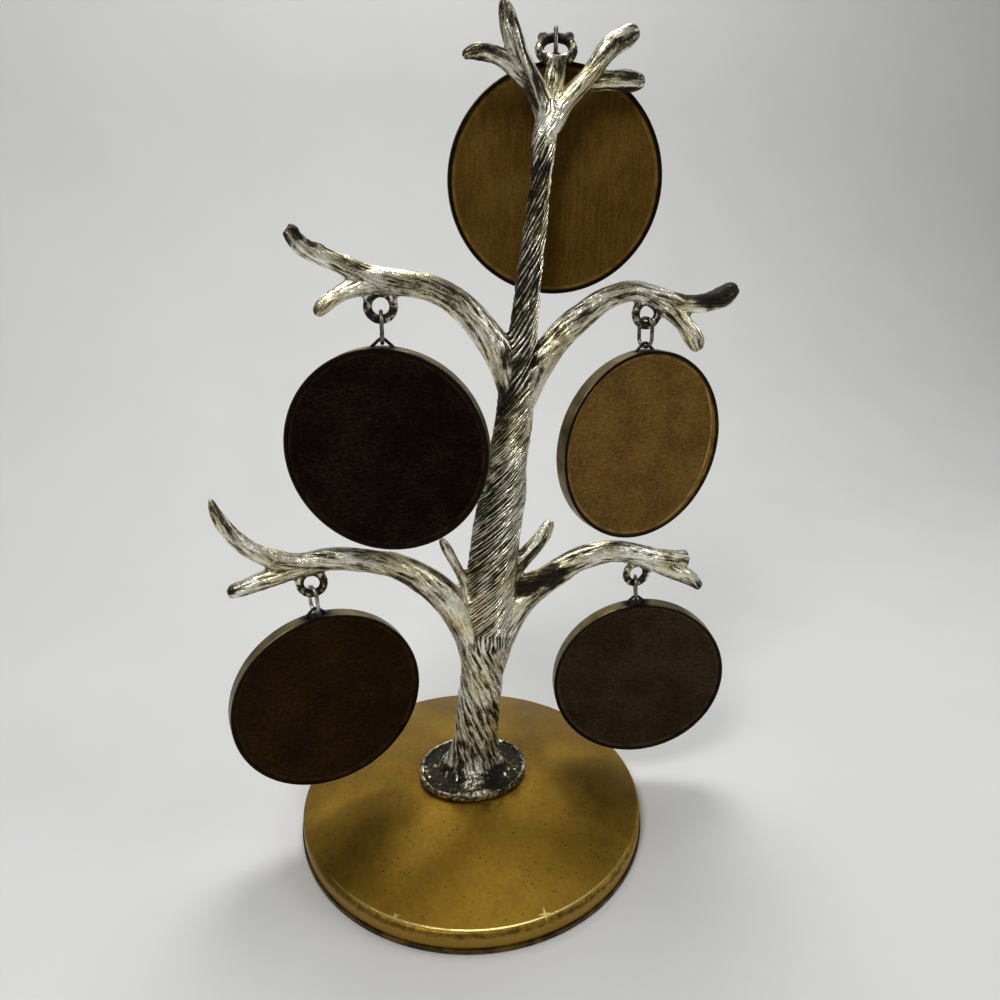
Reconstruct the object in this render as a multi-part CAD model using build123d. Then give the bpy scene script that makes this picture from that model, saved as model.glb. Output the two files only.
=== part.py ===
from build123d import *
from math import cos, pi, radians, sin
import os

# A table-top photo tree: a cast tree on a weighted brass base, with round glazed frames
# that hang by wire links from rings cast under its branches. The origin is the centre of
# the base on the table, +Z is up, the branches lie in the XZ plane, and the frames show
# their backs to -Y and their glass to +Y. Lengths are in millimetres, angles in degrees.

# Base shell, weight and pad
base_diameter = 102.0
base_edge_height = 6.6
base_crown_height = 13.8
base_seat_diameter = 22.0
base_edge_radius = 1.4
dome_sag_share = 0.62
shell_wall = 0.8
shell_lip_height = 1.3
shell_lip_overhang = 0.45
shell_floor_gap = 0.4
felt_thickness = 1.5
felt_inset = 2.0
weight_gap = 0.2

# Fixing screw and washer
screw_diameter = 5.0
screw_head_diameter = 9.0
screw_head_height = 3.0
screw_slot_width = 1.2
screw_slot_depth = 1.3
screw_head_gap = 0.3
screw_clearance = 0.3
thread_gap = 0.05
washer_diameter = 12.0
washer_thickness = 1.0
counterbore_gap = 0.6
hole_bottom_gap = 1.0

# Round frames
frame_diameter = 52.5
frame_depth = 5.0
rim_wall = 0.9
rim_front_radius = 1.5
rim_back_radius = 0.3
lip_thickness = 0.9
lip_width = 2.2
glass_thickness = 1.2
print_thickness = 0.3
card_thickness = 2.0
glass_gap = 0.15
card_gap = 0.1

# Wire bails and links
bail_wire = 0.8
bail_span = 7.4
bail_apex_radius = 1.3
solder_gap = 0.02
link_wire = 1.0
link_length = 8.4
top_link_length = 7.2
link_width = 5.8
link_play = 0.2
rim_play = 0.25

# Rings cast under the branches, and the larger one in the crown
ring_hole = 3.8
ring_bar = 2.4
crown_ring_hole = 5.4
crown_ring_bar = 2.4
crown_ring_lean = 40.0
crown_ring_turn = -14.0
crown_ring_set_back = 5.0
nub_diameter = 2.7
nub_angle = 38.0

# Clear heights and widths that place the tiers of frames
lower_left_floor_gap = 13.6
lower_right_floor_gap = 6.3
tier_gap = 8.3
upper_right_drop = 2.9
crown_gap = 1.9
upper_left_side_gap = 1.0
upper_right_side_gap = 5.0
lower_left_side_gap = 12.7
lower_right_side_gap = 14.2

# Tree casting
trunk_lean = 18.6
trunk_radius = 7.0
branch_radius = 4.0
branch_rise = 25.0
crown_spread = 20.0
crown_fork_drop = 16.9
casting_depth_share = 0.9
bark_ridges = 7
bark_depth = 0.35
foot_width = 32.8
foot_depth = 27.5
foot_thickness = 2.2
foot_bead = 1.3
foot_dish = 0.6

# Worked out from the sizes above
screw_under_head = felt_thickness + screw_head_gap + screw_head_height + washer_thickness
screw_grip = base_crown_height - screw_under_head
frame_radius = frame_diameter / 2
link_inside = link_length - 2 * link_wire
hang_reach = ring_hole / 2 + link_inside - link_play + link_wire + rim_play
bar_drop = (ring_hole + ring_bar) / 2
crown_bar_drop = (crown_ring_hole + crown_ring_bar) / 2
lower_tier = base_edge_height + lower_left_floor_gap + frame_diameter + hang_reach
upper_tier = lower_tier + tier_gap + frame_diameter + hang_reach
crown_top = upper_tier + crown_gap + frame_diameter + rim_play + top_link_length - link_wire
crown_tier = (
    crown_top - link_play - crown_ring_bar / 2 - crown_bar_drop * cos(radians(crown_ring_lean))
)
crown_fork_height = crown_tier - crown_fork_drop
tier_heights = [base_crown_height, lower_tier, upper_tier, crown_tier]

# Trunk stations: tiers up, share of the lean, share of the trunk radius, ridge turn in degrees
trunk_shares = [
    (0.01, 0.0, 1.47, 60),
    (0.03, 0.01, 1.38, 54),
    (0.05, 0.015, 1.27, 48),
    (0.08, 0.025, 1.15, 38),
    (0.13, 0.04, 1.05, 24),
    (0.21, 0.06, 0.99, 0),
    (0.31, 0.10, 0.97, -38),
    (0.43, 0.14, 0.965, -80),
    (0.56, 0.18, 0.97, -125),
    (0.70, 0.24, 1.06, -150),
    (0.84, 0.28, 1.03, -150),
    (1.00, 0.325, 1.03, -135),
    (1.11, 0.365, 1.02, -100),
    (1.20, 0.42, 1.00, -62),
    (1.29, 0.47, 0.95, -20),
    (1.43, 0.535, 0.83, 40),
    (1.55, 0.605, 0.77, 95),
    (1.66, 0.65, 0.72, 140),
    (1.80, 0.69, 0.64, 180),
    (1.95, 0.755, 0.545, 205),
    (2.12, 0.81, 0.50, 235),
    (2.36, 0.89, 0.44, 290),
    (2.56, 0.95, 0.43, 335),
    (2.70, 0.99, 0.44, 355),
    (2.76, 1.01, 0.22, 365),
]

# Branch stations: share of the way out to the ring, of the rise, and of the branch radius
upper_left_shares = [
    (0.05, -0.78, 1.05),
    (0.18, -0.395, 1.04),
    (0.30, -0.19, 0.97),
    (0.465, 0.03, 0.90),
    (0.64, 0.155, 0.84),
    (0.83, 0.21, 0.83),
    (0.99, 0.235, 0.84),
    (1.185, 0.34, 0.66),
    (1.31, 0.415, 0.61),
    (1.45, 0.495, 0.58),
    (1.545, 0.60, 0.54),
    (1.60, 0.69, 0.33),
]
upper_left_twig_shares = [
    (0.94, 0.225, 0.72),
    (1.13, 0.19, 0.67),
    (1.25, 0.135, 0.56),
    (1.35, 0.055, 0.47),
    (1.42, -0.025, 0.40),
    (1.44, -0.075, 0.20),
]
upper_right_shares = [
    (0.03, -0.84, 1.15),
    (0.13, -0.585, 1.06),
    (0.245, -0.35, 0.96),
    (0.37, -0.15, 0.95),
    (0.51, 0.005, 0.88),
    (0.66, 0.145, 0.77),
    (0.765, 0.20, 0.72),
    (0.88, 0.225, 0.71),
    (1.015, 0.19, 0.71),
    (1.15, 0.14, 0.68),
    (1.285, 0.095, 0.65),
    (1.42, 0.09, 0.67),
    (1.565, 0.125, 0.67),
    (1.66, 0.195, 0.57),
    (1.71, 0.255, 0.32),
]
upper_right_twig_shares = [
    (0.96, 0.19, 0.66),
    (1.15, 0.065, 0.70),
    (1.285, -0.075, 0.66),
    (1.37, -0.21, 0.60),
    (1.43, -0.33, 0.52),
    (1.45, -0.39, 0.30),
]
lower_left_shares = [
    (0.0, -1.27, 1.45),
    (0.07, -0.85, 1.34),
    (0.20, -0.41, 1.19),
    (0.33, -0.14, 1.08),
    (0.42, -0.01, 1.00),
    (0.53, 0.11, 0.92),
    (0.66, 0.18, 0.86),
    (0.81, 0.24, 0.83),
    (0.925, 0.25, 0.81),
    (1.045, 0.22, 0.82),
    (1.19, 0.30, 0.72),
    (1.285, 0.395, 0.64),
    (1.38, 0.565, 0.58),
    (1.45, 0.78, 0.48),
    (1.478, 0.94, 0.34),
    (1.484, 1.01, 0.18),
]
lower_left_twig_shares = [
    (1.0, 0.22, 0.72),
    (1.158, 0.13, 0.69),
    (1.25, 0.085, 0.69),
    (1.34, 0.03, 0.61),
    (1.41, -0.01, 0.51),
    (1.46, -0.035, 0.28),
]
lower_right_shares = [
    (0.035, -0.97, 1.38),
    (0.11, -0.555, 1.32),
    (0.215, -0.22, 1.23),
    (0.34, -0.03, 1.06),
    (0.445, 0.09, 1.02),
    (0.59, 0.24, 0.94),
    (0.74, 0.305, 0.90),
    (0.90, 0.295, 0.84),
    (1.035, 0.22, 0.83),
    (1.21, 0.14, 0.75),
    (1.30, 0.13, 0.70),
    (1.35, 0.135, 0.62),
]
lower_right_twig_shares = [
    (0.98, 0.24, 0.78),
    (1.175, 0.07, 0.80),
    (1.285, -0.04, 0.74),
    (1.385, -0.15, 0.63),
    (1.457, -0.28, 0.38),
]
fork_left_shares = [
    (0.045, -0.41, 0.60),
    (0.095, -0.21, 0.50),
    (0.165, 0.045, 0.41),
    (0.235, 0.31, 0.36),
    (0.255, 0.375, 0.20),
]
fork_right_shares = [
    (0.11, -0.04, 0.77),
    (0.145, 0.10, 0.71),
    (0.235, 0.305, 0.69),
    (0.335, 0.50, 0.62),
    (0.405, 0.70, 0.49),
    (0.415, 0.765, 0.28),
]
broken_stub_shares = [
    (0.11, -0.04, 0.66),
    (0.24, 0.045, 0.62),
    (0.41, 0.145, 0.56),
    (0.435, 0.16, 0.45),
]

# Crown stations: shares of the crown's spread out and up from its fork, and of the branch radius
crown_left_shares = [
    (0.01, -0.135, 0.62),
    (0.0, 0.0, 0.74),
    (-0.065, 0.225, 0.66),
    (-0.175, 0.435, 0.61),
    (-0.285, 0.625, 0.575),
    (-0.40, 0.835, 0.54),
    (-0.46, 1.005, 0.47),
    (-0.51, 1.18, 0.31),
    (-0.53, 1.24, 0.16),
]
crown_left_twig_shares = [
    (-0.175, 0.425, 0.48),
    (-0.285, 0.5, 0.50),
    (-0.45, 0.62, 0.52),
    (-0.585, 0.69, 0.50),
    (-0.735, 0.725, 0.45),
    (-0.87, 0.72, 0.33),
    (-0.97, 0.68, 0.18),
]
crown_right_shares = [
    (0.0, -0.135, 0.58),
    (0.025, 0.0, 0.70),
    (0.175, 0.215, 0.59),
    (0.34, 0.405, 0.57),
    (0.48, 0.565, 0.57),
    (0.58, 0.72, 0.53),
    (0.72, 0.86, 0.49),
    (0.86, 0.945, 0.39),
    (0.97, 0.985, 0.22),
]
crown_right_twig_shares = [
    (0.34, 0.405, 0.46),
    (0.505, 0.475, 0.52),
    (0.64, 0.49, 0.55),
    (0.825, 0.5, 0.52),
    (1.0, 0.5, 0.43),
    (1.09, 0.495, 0.22),
]
crown_stem_shares = [
    (0.06, 0.14, 0.50),
    (0.08, 0.365, 0.52),
    (0.11, 0.56, 0.56),
    (0.13, 0.70, 0.48),
]
crown_ring_share = 0.17

# How far each twig's tip stands out of the plane of the tree, as a share of the branch radius
stub_forward_share = -0.9
crown_stem_back_share = 0.6
crown_forward_share = -0.85

# Girth of a branch where it starts inside the trunk
buried_girth_share = 0.7

# Limbs of each branch, the main one first
branch_limbs = {
    "upper_left": [upper_left_shares, upper_left_twig_shares],
    "upper_right": [upper_right_shares, upper_right_twig_shares],
    "lower_left": [lower_left_shares, lower_left_twig_shares, fork_left_shares],
    "lower_right": [lower_right_shares, lower_right_twig_shares, fork_right_shares],
}


def tier_height(tiers):
    """Height of a place counted in tiers, from 0 on the base to 3 at the crown ring."""
    lower = min(int(tiers), len(tier_heights) - 2)
    share = tiers - lower
    return tier_heights[lower] * (1 - share) + tier_heights[lower + 1] * share


def trunk_at(height):
    """Middle and radius of the trunk at a height, read off its stations."""
    rows = [(tier_height(t), trunk_lean * x, trunk_radius * r) for t, x, r, turn in trunk_shares]
    for low, high in zip(rows, rows[1:]):
        if height <= high[0]:
            break
    share = (height - low[0]) / (high[0] - low[0])
    return low[1] + share * (high[1] - low[1]), low[2] + share * (high[2] - low[2])


def turned_half_width(turn):
    """Half the width that a frame takes across the tree when it is turned."""
    angle = abs(radians(turn))
    return frame_radius * cos(angle) + frame_depth / 2 * sin(angle)


def ring_across(ring_height, side, gap, turn):
    """Place across of a ring whose frame hangs a clear gap beside the trunk."""
    middle, radius = trunk_at(ring_height - hang_reach - frame_radius)
    return middle + side * (radius + gap + turned_half_width(turn))


lower_right_ring_height = base_edge_height + lower_right_floor_gap + frame_diameter + hang_reach
upper_right_ring_height = upper_tier - upper_right_drop

# Each hanging frame: ring height, side of the trunk, side gap, turn of the frame and of the
# link about the vertical, and lean of the link to the right
hangings = {
    "upper_left": (upper_tier, -1, upper_left_side_gap, -20.0, -5.0, 0.0),
    "upper_right": (upper_right_ring_height, 1, upper_right_side_gap, 13.5, 19.0, 1.5),
    "lower_left": (lower_tier, -1, lower_left_side_gap, 13.0, 24.0, 3.0),
    "lower_right": (lower_right_ring_height, 1, lower_right_side_gap, -10.0, -20.0, 5.0),
}
crown_hanging = (-14.0, -18.0, 1.0)


def ring_place(name):
    """Centre of the ring that carries a hanging frame."""
    height, side, gap, turn, link_turn, lean = hangings[name]
    return ring_across(height, side, gap, turn), height


def crown_ring_place():
    """Place of the crown ring, turned and leaning back about its own centre."""
    across = trunk_lean + crown_ring_share * crown_spread
    turn = Rot(0, 0, crown_ring_turn)
    return Pos(across, crown_ring_set_back, crown_tier) * turn * Rot(-crown_ring_lean, 0, 0)


def ridged_section(middle, heading, radius, turn=0.0, ridges=0):
    """Face across a limb, round or with rounded bark ridges, a little flat front to back."""
    plane = Plane(origin=middle, x_dir=(0, 1, 0), z_dir=heading)
    if not ridges:
        return plane * Ellipse(radius * casting_depth_share, radius)
    steps = 4 * ridges
    points = []
    for step in range(steps):
        angle = 2 * pi * step / steps
        crest = (1 + cos(ridges * (angle - radians(turn)))) / 2
        reach = radius - bark_depth * (1 - crest)
        points.append((reach * casting_depth_share * cos(angle), reach * sin(angle)))
    return plane * make_face(Spline(points, periodic=True))


def limb(stations):
    """Solid through stations of middle point and radius, each cut square to the limb."""
    sections = []
    for place, (middle, radius) in enumerate(stations):
        before = stations[max(place - 1, 0)][0]
        after = stations[min(place + 1, len(stations) - 1)][0]
        sections.append(ridged_section(middle, after - before, radius))
    return loft(sections)


def branch(shares, name, forward_share=0.0):
    """Limb of a branch, with its stations measured outwards from the branch's root in the
    trunk to the named ring, and up or down from that ring."""
    across, height = ring_place(name)
    root_rise = branch_limbs[name][0][0][1]
    root = trunk_at(height + branch_rise * root_rise)[0]
    stations = []
    for place, (out, rise, girth) in enumerate(shares):
        forward = branch_radius * forward_share * place / (len(shares) - 1)
        middle = Vector(root + (across - root) * out, forward, height + branch_rise * rise)
        stations.append((middle, branch_radius * girth))
    if shares is branch_limbs[name][0]:
        buried = stations[0][0] - Vector(0, 0, branch_radius)
        stations.insert(0, (buried, branch_radius * buried_girth_share))
    return limb(stations)


def crown_limb(shares, back_share=0.0):
    """Limb of the crown, with its stations measured out and up from the crown's fork."""
    stations = []
    for place, (out, rise, girth) in enumerate(shares):
        back = branch_radius * back_share * place / (len(shares) - 1)
        across = trunk_lean + crown_spread * out
        middle = Vector(across, back, crown_fork_height + crown_spread * rise)
        stations.append((middle, branch_radius * girth))
    return limb(stations)


def trunk():
    """Leaning trunk whose bark ridges wind one way below the fork and the other way above."""
    sections = []
    for tiers, lean, girth, turn in trunk_shares:
        middle = Vector(trunk_lean * lean, 0, tier_height(tiers))
        sections.append(
            ridged_section(middle, (0, 0, 1), trunk_radius * girth, turn / 2, bark_ridges)
        )
    return loft(sections)


def foot():
    """Oval foot with a beaded edge and a dished top, into which the roots run."""
    bottom = base_crown_height
    disc = Pos(0, 0, bottom) * extrude(Ellipse(foot_width / 2, foot_depth / 2), foot_thickness)
    dish = Ellipse(foot_width / 2 - foot_bead, foot_depth / 2 - foot_bead)
    top = bottom + foot_thickness
    return disc - Pos(0, 0, top - foot_dish) * extrude(dish, 2 * foot_dish)


def cast_ring(name):
    across, height = ring_place(name)
    plane = Plane(origin=(across, 0, height), x_dir=(1, 0, 0), z_dir=(0, -1, 0))
    return plane * Torus(bar_drop, ring_bar / 2)


def crown_ring():
    """Leaning ring whose two round nubs keep the link in the middle of its upper arc."""
    place = crown_ring_place()
    ring = place * Rot(90, 0, 0) * Torus(crown_bar_drop, crown_ring_bar / 2)
    for side in (-1, 1):
        angle = radians(nub_angle)
        reach = crown_bar_drop + crown_ring_bar / 2
        nub = Pos(side * reach * sin(angle), 0, reach * cos(angle)) * Sphere(nub_diameter / 2)
        ring += place * nub
    return ring


def tree_casting():
    """The whole tree in one casting, with the tapped hole for its fixing screw."""
    tree = trunk() + foot()
    for name, limbs in branch_limbs.items():
        for shares in limbs:
            tree += branch(shares, name)
    tree += branch(broken_stub_shares, "lower_right", stub_forward_share)
    tree += crown_limb(crown_left_shares)
    tree += crown_limb(crown_left_twig_shares)
    tree += crown_limb(crown_right_shares, crown_forward_share)
    tree += crown_limb(crown_right_twig_shares, crown_forward_share)
    tree += crown_limb(crown_stem_shares, crown_stem_back_share)
    for name in hangings:
        tree += cast_ring(name)
    tree += crown_ring()
    return tree - tapped_hole()


def screw_seat_height():
    """Height of the washer's seat inside the weight."""
    return base_crown_height - screw_grip


def screw_length():
    """Length of the shank from under the head to its point in the foot."""
    return 2 * screw_grip + washer_thickness


def tapped_hole():
    depth = screw_length() - washer_thickness - screw_grip + hole_bottom_gap
    radius = screw_diameter / 2 + thread_gap
    return Pos(0, 0, base_crown_height) * Cylinder(
        radius, depth, align=(Align.CENTER, Align.CENTER, Align.MIN)
    )


def dome_profile(inset):
    """Outline in the XZ plane of the domed base, drawn in by an inset all round."""
    edge = base_diameter / 2 - inset
    seat = base_seat_diameter / 2
    crown = base_crown_height - inset
    shoulder = base_edge_height - inset
    corner = max(base_edge_radius - inset, base_edge_radius / 4)
    sag = (crown - shoulder) * dome_sag_share
    dome = ThreePointArc(
        (seat, crown), ((seat + edge) / 2, shoulder + sag), (edge - corner, shoulder)
    )
    turn_down = RadiusArc((edge - corner, shoulder), (edge, shoulder - corner), corner)
    return edge, seat, crown, corner, dome, turn_down


def base_shell():
    """Spun shell with a flat seat in the middle, a soft dome and a thin turned lip below."""
    bottom = shell_floor_gap
    edge, seat, crown, corner, dome, turn_down = dome_profile(0)
    outside = Line((0, crown), (seat, crown)) + dome + turn_down
    wall = Polyline(
        (edge, base_edge_height - corner),
        (edge, bottom + shell_lip_height),
        (edge + shell_lip_overhang, bottom + shell_lip_height),
        (edge + shell_lip_overhang, bottom),
        (0, bottom),
        (0, crown),
    )
    solid = revolve(Plane.XZ * make_face(outside + wall), Axis.Z)
    solid -= base_hollow(shell_wall, bottom)
    hole = Cylinder(screw_diameter / 2 + screw_clearance, 3 * base_crown_height)
    return solid - hole


def base_hollow(inset, bottom):
    """Solid that fills the base down to a height, drawn in by an inset all round."""
    edge, seat, crown, corner, dome, turn_down = dome_profile(inset)
    outside = Line((0, crown), (seat, crown)) + dome + turn_down
    inside = Polyline(
        (edge, base_edge_height - inset - corner), (edge, bottom), (0, bottom), (0, crown)
    )
    return revolve(Plane.XZ * make_face(outside + inside), Axis.Z)


def base_weight():
    """Heavy filling under the shell, counterbored from below for the screw's head."""
    solid = base_hollow(shell_wall + weight_gap, felt_thickness)
    seat = screw_seat_height()
    low = (Align.CENTER, Align.CENTER, Align.MIN)
    high = (Align.CENTER, Align.CENTER, Align.MAX)
    hole = Cylinder(screw_diameter / 2 + screw_clearance, 2 * base_crown_height, align=low)
    counterbore = Cylinder(
        washer_diameter / 2 + counterbore_gap, 2 * base_crown_height, align=high
    )
    return solid - hole - Pos(0, 0, seat) * counterbore


def felt_pad():
    low = (Align.CENTER, Align.CENTER, Align.MIN)
    return Cylinder(base_diameter / 2 - felt_inset, felt_thickness, align=low)


def screw_washer():
    top = screw_seat_height()
    high = (Align.CENTER, Align.CENTER, Align.MAX)
    ring = Cylinder(washer_diameter / 2, washer_thickness, align=high)
    ring -= Cylinder(screw_diameter / 2 + screw_clearance, 2 * washer_thickness)
    return Pos(0, 0, top) * ring


def fixing_screw():
    """Slotted screw that comes up through washer, weight and shell into the foot."""
    under_head = screw_seat_height() - washer_thickness
    low = (Align.CENTER, Align.CENTER, Align.MIN)
    high = (Align.CENTER, Align.CENTER, Align.MAX)
    shank = Cylinder(screw_diameter / 2, screw_length(), align=low)
    head = Cylinder(screw_head_diameter / 2, screw_head_height, align=high)
    head = fillet(head.edges().filter_by(GeomType.CIRCLE).sort_by(Axis.Z)[0], screw_slot_depth / 2)
    slot = Box(2 * screw_head_diameter, screw_slot_width, screw_slot_depth, align=low)
    head -= Pos(0, 0, -screw_head_height) * slot
    return Pos(0, 0, under_head) * (shank + head)


def frame_bezel():
    """Round rim, open at the back, with a rounded front and a lip that holds the glass.
    The frame lies on its own axis: its back at -Y, its glass at +Y, its middle at zero."""
    back = -frame_depth / 2
    front = frame_depth / 2
    inside = frame_radius - rim_wall
    lip = frame_radius - rim_wall - lip_width
    section = make_face(
        Polyline(
            (frame_radius, back),
            (frame_radius, front),
            (lip, front),
            (lip, front - lip_thickness),
            (inside, front - lip_thickness),
            (inside, back),
            close=True,
        )
    )
    for depth, radius in ((front, rim_front_radius), (back, rim_back_radius)):
        corner = section.vertices().sort_by_distance((frame_radius, depth))[0]
        section = fillet(corner, radius)
    return Rot(-90, 0, 0) * revolve(Plane.XZ * section, Axis.Z)


def frame_disc(radius, front, thickness):
    """Round sheet inside a frame, from its front face backwards."""
    high = (Align.CENTER, Align.CENTER, Align.MAX)
    return Rot(-90, 0, 0) * Pos(0, 0, front) * Cylinder(radius, thickness, align=high)


def frame_glass():
    front = frame_depth / 2 - lip_thickness
    return frame_disc(frame_radius - rim_wall - glass_gap, front, glass_thickness)


def photo_print():
    front = frame_depth / 2 - lip_thickness - glass_thickness
    return frame_disc(frame_radius - rim_wall - glass_gap, front, print_thickness)


def backing_card():
    front = frame_depth / 2 - lip_thickness - glass_thickness - print_thickness
    return frame_disc(frame_radius - rim_wall - card_gap, front, card_thickness)


def bail_height():
    """Height of the bail's wire above the rim at its apex, to the middle of the wire."""
    return rim_play + link_wire + link_play + bail_wire / 2


def frame_bail():
    """Bent wire soldered to the top of the rim, through which the link passes."""
    reach = bail_span / 2
    foot_height = (frame_radius**2 - reach**2) ** 0.5 - bail_wire
    apex_height = frame_radius + bail_height()
    slant = (reach**2 + (apex_height - foot_height) ** 2) ** 0.5
    bend_cut = bail_apex_radius * (slant / reach - 1)
    path = FilletPolyline(
        (-reach, 0, foot_height),
        (0, 0, apex_height + bend_cut),
        (reach, 0, foot_height),
        radius=bail_apex_radius,
    )
    start = Plane(origin=path @ 0, z_dir=path % 0)
    wire = sweep(start * Circle(bail_wire / 2), path)
    return wire - Rot(90, 0, 0) * Cylinder(frame_radius + solder_gap, frame_depth)


def wire_link(length):
    """Oval wire link in the YZ plane, its upper bend centred on the origin."""
    bend = (link_width - link_wire) / 2
    straight = length - link_width
    side = Plane.YZ * Pos(bend, 0) * Circle(link_wire / 2)
    upper = revolve(Plane.XY * Pos(0, bend) * Circle(link_wire / 2), Axis.X, 180)
    lower = Pos(0, 0, -straight) * Rot(180, 0, 0) * upper
    link = upper + lower
    for place in (-bend, bend):
        leg = Cylinder(link_wire / 2, straight, align=(Align.CENTER, Align.CENTER, Align.MAX))
        link += Pos(0, place, 0) * leg
    return link


def hanging_parts(name, bar, bar_radius, length, turn, link_turn, lean):
    """Link and framed photo that hang from a bar at the given place."""
    hook = Pos(*bar) * Rot(0, -lean, 0)
    link_top = bar_radius + link_play + link_wire
    link_rise = link_top - link_width / 2
    middle = hook * Pos(0, 0, link_top - length - rim_play - frame_radius) * Rot(0, 0, turn)
    return {
        name + "_link": hook * Rot(0, 0, link_turn) * Pos(0, 0, link_rise) * wire_link(length),
        name + "_bezel": middle * frame_bezel(),
        name + "_bail": middle * frame_bail(),
        name + "_glass": middle * frame_glass(),
        name + "_print": middle * photo_print(),
        name + "_backing": middle * backing_card(),
    }


def main():
    parts = {
        "tree_casting": tree_casting(),
        "base_shell": base_shell(),
        "base_weight": base_weight(),
        "felt_pad": felt_pad(),
        "fixing_screw": fixing_screw(),
        "screw_washer": screw_washer(),
    }
    for name, (height, side, gap, turn, link_turn, lean) in hangings.items():
        across = ring_place(name)[0]
        bar = (across, 0, height - bar_drop)
        parts.update(
            hanging_parts(name, bar, ring_bar / 2, link_length, turn, link_turn, lean)
        )
    bar = (crown_ring_place() * Pos(0, 0, crown_bar_drop)).position
    parts.update(
        hanging_parts("top", bar, crown_ring_bar / 2, top_link_length, *crown_hanging)
    )
    os.makedirs("parts", exist_ok=True)
    for name, solid in parts.items():
        export_step(solid, f"parts/{name}.step")


main()
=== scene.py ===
from math import cos, radians, sin
from typing import NamedTuple

import bpy
import numpy as np
from mathutils import Matrix, Vector


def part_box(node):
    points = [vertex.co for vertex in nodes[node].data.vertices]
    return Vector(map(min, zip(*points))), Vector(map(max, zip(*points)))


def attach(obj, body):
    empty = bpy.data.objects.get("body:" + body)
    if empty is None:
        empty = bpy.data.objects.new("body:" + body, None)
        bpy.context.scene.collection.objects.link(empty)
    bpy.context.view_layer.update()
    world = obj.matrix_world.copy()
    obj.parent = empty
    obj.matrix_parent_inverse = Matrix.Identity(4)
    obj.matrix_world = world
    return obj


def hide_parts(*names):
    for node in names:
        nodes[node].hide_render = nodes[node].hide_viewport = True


# The finish of a table-top photo tree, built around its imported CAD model: an antiqued cast
# tree with carved bark, a worn brass-plated base, aged brass rims and fibrous backing cards.
# Lengths in the tables are in millimetres and turn into metres with MM.

MM = 0.001

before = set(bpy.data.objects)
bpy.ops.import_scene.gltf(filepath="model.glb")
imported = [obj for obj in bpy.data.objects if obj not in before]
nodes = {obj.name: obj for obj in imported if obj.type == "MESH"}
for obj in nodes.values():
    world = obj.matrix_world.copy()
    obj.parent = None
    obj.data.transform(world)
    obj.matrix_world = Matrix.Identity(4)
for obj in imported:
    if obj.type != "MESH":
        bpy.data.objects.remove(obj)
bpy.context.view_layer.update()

# Camera and light

CAMERA_PLACE = (-38.9, -184.2, 169.4)
CAMERA_RIGHT = (0.9696, -0.2447, 0.0066)
CAMERA_UP = (0.0769, 0.33, 0.9409)
CAMERA_NEAR = 10
CAMERA_LENS = 27.0
CAMERA_SENSOR = 36.0


def make_camera():
    """The photograph's viewpoint: close, a little above the middle, looking down."""
    data = bpy.data.cameras.new("photo_camera")
    data.lens = CAMERA_LENS
    data.sensor_width = CAMERA_SENSOR
    data.clip_start = CAMERA_NEAR * MM
    camera = bpy.data.objects.new("photo_camera", data)
    right = Vector(CAMERA_RIGHT).normalized()
    back = right.cross(Vector(CAMERA_UP)).normalized()
    up = back.cross(right)
    turn = Matrix((right, up, back)).transposed().to_4x4()
    camera.matrix_world = Matrix.Translation(Vector(CAMERA_PLACE) * MM) @ turn
    bpy.context.scene.collection.objects.link(camera)
    bpy.context.scene.camera = camera


# Each lamp's place, size, watts and colour
LAMPS = {
    "key": ((-300, -360, 600), 240, 2.3, (1.0, 0.985, 0.96)),
    "fill": ((520, -200, 380), 300, 0.8, (0.96, 0.98, 1.0)),
    "back": ((55, 205, 700), 280, 2.4, (1.0, 1.0, 0.99)),
}
AIM = (0, 0, 90)


def make_lamps():
    """Soft round lamps that all point at the middle of the stand."""
    for name, (place, size, watts, colour) in LAMPS.items():
        data = bpy.data.lights.new(name + "_lamp", "AREA")
        data.shape = "DISK"
        data.size = size * MM
        data.energy = watts
        data.color = colour
        lamp = bpy.data.objects.new(name + "_lamp", data)
        lamp.location = Vector(place) * MM
        aim = (Vector(AIM) - Vector(place)).to_track_quat("-Z", "Y")
        lamp.rotation_euler = aim.to_euler()
        bpy.context.scene.collection.objects.link(lamp)


WORLD_COLOUR = (0.60, 0.605, 0.60)
WORLD_STRENGTH = 0.42


def make_world():
    """An even pale surrounding."""
    world = bpy.data.worlds.new("studio")
    world.use_nodes = True
    background = world.node_tree.nodes["Background"]
    background.inputs["Color"].default_value = (*WORLD_COLOUR, 1)
    background.inputs["Strength"].default_value = WORLD_STRENGTH
    bpy.context.scene.world = world


SWEEP_HALF_WIDTH = 900
SWEEP_FRONT = -700
SWEEP_BACK = 420
SWEEP_BEND = 260
SWEEP_BEND_STEPS = 12
SWEEP_TOP = 1000


def make_sweep():
    """Pale paper floor that curves up behind the stand."""
    profile = [(SWEEP_FRONT, 0.0), (SWEEP_BACK - SWEEP_BEND, 0.0)]
    for step in range(1, SWEEP_BEND_STEPS + 1):
        angle = radians(90 * step / SWEEP_BEND_STEPS)
        depth = SWEEP_BACK - SWEEP_BEND * (1 - sin(angle))
        profile.append((depth, SWEEP_BEND * (1 - cos(angle))))
    profile.append((SWEEP_BACK, SWEEP_TOP))
    verts = [
        (side * SWEEP_HALF_WIDTH * MM, y * MM, z * MM) for y, z in profile for side in (-1, 1)
    ]
    faces = [(2 * i, 2 * i + 1, 2 * i + 3, 2 * i + 2) for i in range(len(profile) - 1)]
    mesh = bpy.data.meshes.new("sweep")
    mesh.from_pydata(verts, [], faces)
    mesh.shade_smooth()
    sweep = bpy.data.objects.new("sweep", mesh)
    bpy.context.scene.collection.objects.link(sweep)
    sweep.data.materials.append(paper_sweep())


# Materials

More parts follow.
